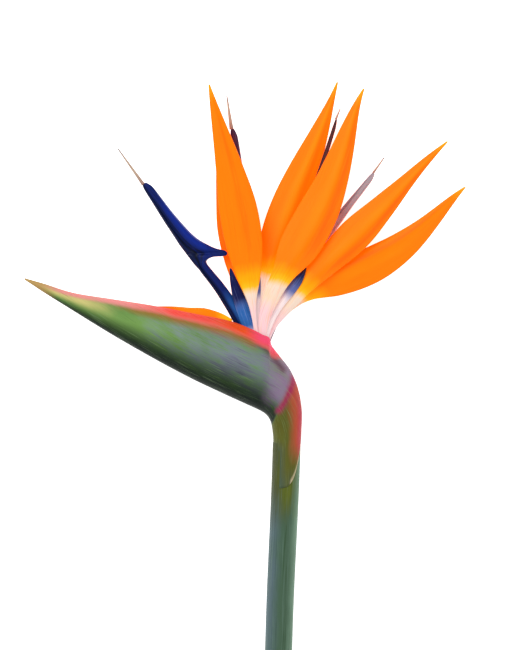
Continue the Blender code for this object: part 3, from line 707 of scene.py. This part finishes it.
# Outer and inner skin as grids of points, row by row from the beak to the sheath's foot
def spatheGrids():
    rows = through(spatheRows, spatheShape["steps"])
    turn = np.linspace(-1, 1, spatheShape["sides"] + 1)
    place = np.arange(len(rows)) / spatheShape["steps"]
    last = len(spatheRows) - 1
    outer, inner, shares = [], [], []
    for at, (kx, ky, bx, by, half, opening) in zip(place, rows):
        thinner = min(1, max(0, at - spatheShape["sheathFrom"]) / spatheShape["thinOver"])
        wall = spatheShape["wall"] + (spatheShape["sheathWall"] - spatheShape["wall"]) * thinner
        wall = min(wall, spatheShape["wallMost"] * half, opening - spatheShape["lipLeast"])
        intoNotch = max(0, at - last + spatheShape["notchRows"]) / spatheShape["notchRows"]
        sharp = 1 + (spatheShape["notchSharp"] - 1) * intoNotch
        for into, skin in ((0, outer), (wall, inner)):
            width = max(half - into, spatheShape["skinLeast"])
            lip = math.asin(min(1, max(opening - into, spatheShape["lipLeast"]) / width))
            angle = turn * (math.pi - lip)
            share = (1 - np.cos(angle)) / (1 + math.cos(lip))
            share = share + (1 - share) * min(spatheShape["lipShare"], into / math.hypot(bx - kx, by - ky))
            x = kx + (bx - kx) * share
            y = ky + (by - ky) * share ** sharp
            skin.append(np.column_stack([x, y, width * np.sin(angle)]))
        shares.append(share)
    return np.array(outer), np.array(inner), np.array(shares), place[:, None] + 0 * turn


# 1 on a line through a few points of the plan, falling to 0 over this reach
def nearLine(x, y, line, reach):
    line = through(line, curveSteps["line"])
    found = np.full(x.shape, 1e9)
    for (ax, ay), (bx, by) in zip(line, line[1:]):
        t = np.clip(((x - ax) * (bx - ax) + (y - ay) * (by - ay)) / ((bx - ax) ** 2 + (by - ay) ** 2), 0, 1)
        found = np.minimum(found, np.hypot(x - ax - t * (bx - ax), y - ay - t * (by - ay)))
    return np.exp(-(found / reach) ** 2)


# x and y are the plan's; across is 0 at the keel and 1 at the slit; row counts the rows above
spatheZones = {
    "midGreen": ("whole", 0.9, ("near", 0.58, 0.24), ("x", -10.0, -50.0)),
    "lime": ("whole", 0.9, ("near", 0.76, 0.2), ("x", -58.0, -84.0)),
    "bloom": ("beakSide", 0.72, ("near", 0.55, 0.32), ("x", -60.0, -5.0)),
    "purple": ("beakSide", 0.25, ("near", 0.5, 0.4), ("x", -35.0, 10.0)),
    "keelShade": ("beakSide", 1.0, ("across", 0.66, 0.08)),
    "violet": ("beakSide", 0.75, ("x", 6.0, 19.0), ("y", -13.0, -3.0), ("y", 18.0, 13.0)),
    "darkLine": ("darkLine", 0.7, ("x", -8.0, 4.0)),
    "amber": ("underRim", 0.85, ("x", -75.0, -40.0), ("x", 9.0, 2.0)),
    "salmon": ("rim", 0.95, ("x", -106.0, -90.0)),
    "coral": ("rim", 1.0, ("x", -62.0, -30.0)),
    "flameRim": ("rim", 1.0, ("x", -22.0, -4.0)),
    "hotPink": ("rim", 1.0, ("x", -1.0, 9.0)),
    "olive": ("sheath", 1.0),
    "stemGreen": ("sheath", 1.0, ("across", 0.6, 0.1), ("y", -24.0, -36.0)),
    "footGreen": ("whole", 0.3, ("y", -38.0, -50.0)),
    "blush": ("sheath", 0.92, ("across", 0.5, 0.88), ("y", -42.0, -26.0)),
    "blushEdge": ("sheath", 0.8, ("across", 0.82, 0.98), ("y", -42.0, -26.0), ("y", 0.0, -14.0)),
    "magenta": ("crease", 0.95),
    "beak": ("whole", 0.8, ("x", -92.0, -104.0)),
    "margin": ("whole", 1.0, ("row", 15.86, 15.97), ("across", 0.62, 0.7)),
}
spathePaint = {
    "rimAt": (-110.0, -77.0, -57.0, -27.0, 0.0, 14.0), "rimWide": (0.8, 1.5, 2.2, 3.1, 4.1, 4.8),
    "rimFade": (1.5, 0.45), "underRimFade": (2.6, 1.2), "rimDownTo": (12.0, 20.0),
    "creaseAt": (20.8, -3.75), "creaseAcross": (0.90, -0.437), "creaseFade": (-0.4, 1.2),
    "crease": ((24.8, 4.5), (23.2, -1.0), (21.2, -5.2), (19.4, -8.8), (16.9, -12.3)), "creaseWide": 1.7,
    "darkLine": ((-6.0, 26.0), (4.0, 22.5), (12.0, 17.0), (19.0, 8.0)), "darkLineWide": 1.6,
}


# The grounds: the slit's coloured rim, the strip under it, and the two sides of the elbow's crease
def spatheGrounds(x, y, below):
    paint = spathePaint
    wide = np.interp(x, paint["rimAt"], paint["rimWide"])
    fade, under = paint["rimFade"], paint["underRimFade"]
    (cx, cy), (nx, ny) = paint["creaseAt"], paint["creaseAcross"]
    sheath = smooth(*paint["creaseFade"], (x - cx) * nx + (y - cy) * ny)
    beakSide = 1 - sheath
    return {
        "rim": smooth(wide * fade[0], wide * fade[1], below) * smooth(*paint["rimDownTo"], y),
        "underRim": smooth(wide * under[0], wide * under[1], below),
        "sheath": sheath, "beakSide": beakSide,
        "crease": nearLine(x, y, paint["crease"], paint["creaseWide"]),
        "darkLine": nearLine(x, y, paint["darkLine"], paint["darkLineWide"]) * beakSide,
    }


def makeSpathe():
    outer, inner, share, row = spatheGrids()
    rows, columns = share.shape
    keel = columns // 2
    points = np.concatenate([outer.reshape(-1, 3), inner.reshape(-1, 3)])
    stepsAlong = np.linalg.norm(np.diff(outer, axis=0), axis=2).mean(axis=1)
    stepsAround = np.linalg.norm(np.diff(outer, axis=1), axis=2)
    longWay = np.concatenate([[0], np.cumsum(stepsAlong)])[:, None] + 0 * share
    around = np.concatenate([np.zeros((rows, 1)), np.cumsum(stepsAround, axis=1)], axis=1)
    around = around - around[:, keel:keel + 1]
    grain = np.stack([around, longWay, 0 * share], axis=2).reshape(-1, 3)
    skin = {"grain": np.concatenate([grain, grain + np.array([0, 0, spatheShape["insideApart"]])])}
    x, y = outer[:, :, 0], outer[:, :, 1]
    depth = np.hypot(x[:, :1] - x[:, keel:keel + 1], y[:, :1] - y[:, keel:keel + 1])
    masks = zoneMasks(spatheZones, {"x": x, "y": y, "across": share, "row": row},
                      spatheGrounds(x, y, (1 - share) * depth))
    masks["stemGreen"] = masks["stemGreen"] + masks.pop("footGreen")
    for key, values in masks.items():
        skin[key] = np.concatenate([values.ravel(), values.ravel()])
    makePiece("spathe_skin", points, sheetFaces(rows, columns), makeSkin("waxy spathe leaf", spatheLook), skin,
              "spathe")


makeSpathe()
print("spathe done")

# Stem: swept along its line by a Geometry Nodes tree
stemLine = ((-152.0, 16.4), (-107.0, 17.75), (-57.0, 20.0), (-32.0, 20.9), (-15.0, 21.4), (-3.5, 21.4))
stemShape = {"footRadius": 6.75, "topRadius": 7.0, "sides": 64, "samples": 160,
             "ribHigh": 0.05, "ribGap": 1.1, "sheathFoot": -51.0, "sag": 1.3,
             "hidden": 0.3, "narrow": (-29.0, -24.0)}  # how far it thins inside the sheath, and where
stemLook = {
    # stem: smooth, waxy, with a thin bloom over lengthwise green fibres
    "base": "#46604C", "dark": ("#22401E", 1.1), "light": ("#7C968C", 0.45),
    "layers": (("cool", "#53666C", 1.1), ("sunny", "#6A8872", 0.8), ("moss", "#464A28", 0.6),
               ("olive", "#5C6620", 0.9), ("cut", "#B9C08C", 0.2)),
    "streakWide": 0.9, "streakLong": 34.0, "blotch": 7.0,
    "roughness": 0.5, "gloss": 0.12, "paintedGlow": 0.0, "relief": 0.10,
}
# across is -1 at the side under the spathe's keel and 1 at the other; up is the distance from the cut
stemZones = {
    "cool": ("whole", 0.9, ("across", 0.1, -0.75)),
    "moss": ("whole", 0.95, ("across", 0.7, 0.1), ("y", -76.0, -48.0)),
    "sunny": ("whole", 0.8, ("across", 0.35, 0.95)),
    "olive": ("whole", 1.0, ("near", 0.15, 0.55), ("y", -72.0, -50.0)),
    "cut": ("whole", 1.0, ("up", 0.05, 0.0)),
}


def sweepTree(material):
    tree = bpy.data.node_groups.new("swept stem", "GeometryNodeTree")
    tree.interface.new_socket("Geometry", in_out="INPUT", socket_type="NodeSocketGeometry")
    for label, kind in (("Foot radius", "NodeSocketFloat"), ("Top radius", "NodeSocketFloat"),
                        ("Sides", "NodeSocketInt"), ("Rib height", "NodeSocketFloat"),
                        ("Rib gap", "NodeSocketFloat")):
        tree.interface.new_socket(label, in_out="INPUT", socket_type=kind)
    tree.interface.new_socket("Geometry", in_out="OUTPUT", socket_type="NodeSocketGeometry")
    source = addNode(tree, "NodeGroupInput")
    spline = addNode(tree, "GeometryNodeSplineParameter")
    taper = addNode(tree, "ShaderNodeMix", {"data_type": "FLOAT"},
                    {"Factor": spline.outputs["Factor"], "A": source.outputs["Foot radius"],
                     "B": source.outputs["Top radius"]})
    drawn = addNode(tree, "GeometryNodeInputRadius")
    radius = addNode(tree, "ShaderNodeMath", {"operation": "MULTIPLY"},
                     {0: taper.outputs[0], 1: drawn.outputs[0]})
    ring = addNode(tree, "GeometryNodeCurvePrimitiveCircle", {"Radius": 1.0},
                   {"Resolution": source.outputs["Sides"]})
    turned = addNode(tree, "GeometryNodeStoreNamedAttribute",
                     {"data_type": "FLOAT", "domain": "POINT", "Name": "turned"},
                     {"Geometry": ring.outputs["Curve"], "Value": spline.outputs["Factor"]})
    swept = addNode(tree, "GeometryNodeCurveToMesh", {"Fill Caps": True},
                    {"Curve": source.outputs["Geometry"], "Profile Curve": turned.outputs["Geometry"],
                     "Scale": radius.outputs[0]})
    turn = addNode(tree, "GeometryNodeInputNamedAttribute", {"data_type": "FLOAT", "Name": "turned"})
    girth = addNode(tree, "ShaderNodeMath", {"operation": "MULTIPLY", 1: 2 * math.pi},
                    {0: source.outputs["Top radius"]})
    count = addNode(tree, "ShaderNodeMath", {"operation": "DIVIDE"},
                    {0: girth.outputs[0], 1: source.outputs["Rib gap"]})
    count = addNode(tree, "ShaderNodeMath", {"operation": "ROUND"}, {0: count.outputs[0]})
    phase = addNode(tree, "ShaderNodeMath", {"operation": "MULTIPLY"},
                    {0: turn.outputs[0], 1: count.outputs[0]})
    phase = addNode(tree, "ShaderNodeMath", {"operation": "MULTIPLY", 1: 2 * math.pi}, {0: phase.outputs[0]})
    rib = addNode(tree, "ShaderNodeMath", {"operation": "COSINE"}, {0: phase.outputs[0]})
    rib = addNode(tree, "ShaderNodeMath", {"operation": "MULTIPLY"},
                  {0: rib.outputs[0], 1: source.outputs["Rib height"]})
    normal = addNode(tree, "GeometryNodeInputNormal")
    lift = addNode(tree, "ShaderNodeVectorMath", {"operation": "SCALE"},
                   {0: normal.outputs["Normal"], "Scale": rib.outputs[0]})
    ribbed = addNode(tree, "GeometryNodeSetPosition", {},
                     {"Geometry": swept.outputs["Mesh"], "Offset": lift.outputs[0]})
    real = addNode(tree, "GeometryNodeRealizeInstances", {}, {"Geometry": ribbed.outputs["Geometry"]})
    dressed = addNode(tree, "GeometryNodeSetMaterial", {"Material": material},
                      {"Geometry": real.outputs["Geometry"]})
    addNode(tree, "NodeGroupOutput", {}, {"Geometry": dressed.outputs["Geometry"]})
    return tree


# The stem's middle, which sags from the sheath's foot until its cut end rests on the surface
def stemMiddle(y):
    heights, places = through(stemLine, curveSteps["line"]).T
    fall = np.clip((stemShape["sheathFoot"] - y) / (stemShape["sheathFoot"] - heights[0]), 0, 1)
    lowest = plan["restLevel"] + stemShape["footRadius"]
    return np.interp(y, heights, places), lowest * fall ** stemShape["sag"]


def makeStem():
    y = np.linspace(stemLine[0][0], stemLine[-1][0], stemShape["samples"])
    x, level = stemMiddle(y)
    curve = bpy.data.curves.new("stem line", "CURVE")
    curve.dimensions = "3D"
    spline = curve.splines.new("POLY")
    spline.points.add(len(y) - 1)
    narrow = 1 - stemShape["hidden"] * smooth(*stemShape["narrow"], y)
    for point, spot, share in zip(spline.points, np.column_stack([x, y, level]) * mm + planOrigin, narrow):
        point.co = (*spot, 1)
        point.radius = share
    guide = bpy.data.objects.new("stem line", curve)
    bpy.context.scene.collection.objects.link(guide)
    material = makeSkin("waxy green stem", stemLook)
    modifier = guide.modifiers.new("sweep", "NODES")
    modifier.node_group = sweepTree(material)
    values = {"Foot radius": stemShape["footRadius"] * mm, "Top radius": stemShape["topRadius"] * mm,
              "Sides": stemShape["sides"], "Rib height": stemShape["ribHigh"] * mm,
              "Rib gap": stemShape["ribGap"] * mm}
    for item in modifier.node_group.interface.items_tree:
        if item.name in values and item.in_out == "INPUT":
            modifier[item.identifier] = values[item.name]
    graph = bpy.context.evaluated_depsgraph_get()
    mesh = bpy.data.meshes.new_from_object(guide.evaluated_get(graph))
    guide.modifiers.remove(modifier)
    bpy.data.objects.remove(guide)
    mesh.name = "stem_skin"
    spots = (np.array([v.co for v in mesh.vertices]) - planOrigin) / mm
    middleX, middleLevel = stemMiddle(spots[:, 1])
    around = np.arctan2(spots[:, 2] - middleLevel, spots[:, 0] - middleX)
    side = (spots[:, 0] - middleX) / stemShape["topRadius"]
    skin = zoneMasks(stemZones, {"across": side, "y": spots[:, 1], "up": spots[:, 1] - stemLine[0][0]})
    for key, values in skin.items():
        mesh.attributes.new(key, "FLOAT", "POINT").data.foreach_set("value", values.astype(np.float32))
    grain = np.column_stack([around * stemShape["topRadius"], spots[:, 1], spots[:, 2] * 0]).astype(np.float32)
    mesh.attributes.new("grain", "FLOAT_VECTOR", "POINT").data.foreach_set("vector", grain.ravel())
    mesh.shade_smooth()
    stem = bpy.data.objects.new("stem_skin", mesh)
    bpy.context.scene.collection.objects.link(stem)
    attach(stem, "root")
    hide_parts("stem")


makeStem()
print("stem done")

# Bases keep the frame's own meshes, inside the spathe, in pale petal tissue
baseLook = {"light": "#F2DCCF", "dark": "#E0A8A0", "patch": 4.0, "roughness": 0.5}


def makeBaseSkin():
    material = bpy.data.materials.new("pale ovary tissue")  # smooth and fleshy, nearly white
    material.use_nodes = True
    tree = material.node_tree
    shader = tree.nodes["Principled BSDF"]
    spot = addNode(tree, "ShaderNodeTexCoord")
    noise = addNode(tree, "ShaderNodeTexNoise", {"Scale": 1 / (baseLook["patch"] * mm)},
                    {"Vector": spot.outputs["Object"]})
    colour = addNode(tree, "ShaderNodeMix",
                     {"data_type": "RGBA", "A": linear(baseLook["light"]), "B": linear(baseLook["dark"])},
                     {"Factor": noise.outputs["Fac"]})
    tree.links.new(colour.outputs["Result"], shader.inputs["Base Color"])
    shader.inputs["Roughness"].default_value = baseLook["roughness"]
    return material


baseSkin = makeBaseSkin()
for letter in arrows:
    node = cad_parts[f"floret_{letter}_base"]
    node.data.materials.clear()
    node.data.materials.append(baseSkin)
print("bases done")

# Floor, light and camera: metres and watts in the studio, plan millimetres in the view
studio = {"floor": 3.0, "floorColour": "#FFFFFF", "floorRoughness": 0.9, "floorGlow": 0.82, "world": 0.55,
          "lampSize": 1.6, "keyPower": 26.0, "keyAt": (-0.9, 1.1, 1.6),
          "fillPower": 8.0, "fillAt": (1.2, -0.6, 1.4)}
view = {"middle": (4.15, 30.42), "tall": 325.0, "lens": 200.0, "sensor": 36.0, "clipEnd": 20}


def makeFloor():
    half = studio["floor"] / 2
    mesh = bpy.data.meshes.new("floor")
    corners = [(-half, -half, 0), (half, -half, 0), (half, half, 0), (-half, half, 0)]
    mesh.from_pydata(corners, [], [(0, 1, 2, 3)])
    paper = bpy.data.materials.new("white paper sweep")  # matt, and lit from behind: shadows stay faint
    paper.use_nodes = True
    shader = paper.node_tree.nodes["Principled BSDF"]
    shader.inputs["Base Color"].default_value = linear(studio["floorColour"])
    shader.inputs["Roughness"].default_value = studio["floorRoughness"]
    shader.inputs["Emission Color"].default_value = linear(studio["floorColour"])
    shader.inputs["Emission Strength"].default_value = studio["floorGlow"]
    mesh.materials.append(paper)
    floor = bpy.data.objects.new("floor", mesh)
    bpy.context.scene.collection.objects.link(floor)


def makeLamp(name, power, spot):
    lamp = bpy.data.lights.new(name, "AREA")
    lamp.shape = "DISK"
    lamp.size = studio["lampSize"]
    lamp.energy = power
    holder = bpy.data.objects.new(name, lamp)
    holder.location = spot
    holder.rotation_mode = "QUATERNION"
    holder.rotation_quaternion = (-Vector(spot)).to_track_quat("-Z", "Y")
    bpy.context.scene.collection.objects.link(holder)


def makeCamera():
    lens = bpy.data.cameras.new("camera")
    lens.sensor_fit = "VERTICAL"
    lens.sensor_height = view["sensor"]
    lens.lens = view["lens"]
    away = view["lens"] * view["tall"] / view["sensor"]
    lens.clip_end = view["clipEnd"]
    camera = bpy.data.objects.new("camera", lens)
    camera.location = np.array([*view["middle"], away]) * mm + planOrigin
    bpy.context.scene.collection.objects.link(camera)
    bpy.context.scene.camera = camera


def makeWorld():
    world = bpy.data.worlds.new("studio")
    world.use_nodes = True
    background = world.node_tree.nodes["Background"]
    background.inputs["Color"].default_value = (1, 1, 1, 1)
    background.inputs["Strength"].default_value = studio["world"]
    bpy.context.scene.world = world


makeFloor()
makeLamp("key", studio["keyPower"], studio["keyAt"])
makeLamp("fill", studio["fillPower"], studio["fillAt"])
makeCamera()
makeWorld()
bpy.context.scene.view_settings.view_transform = "Standard"
print("studio done")
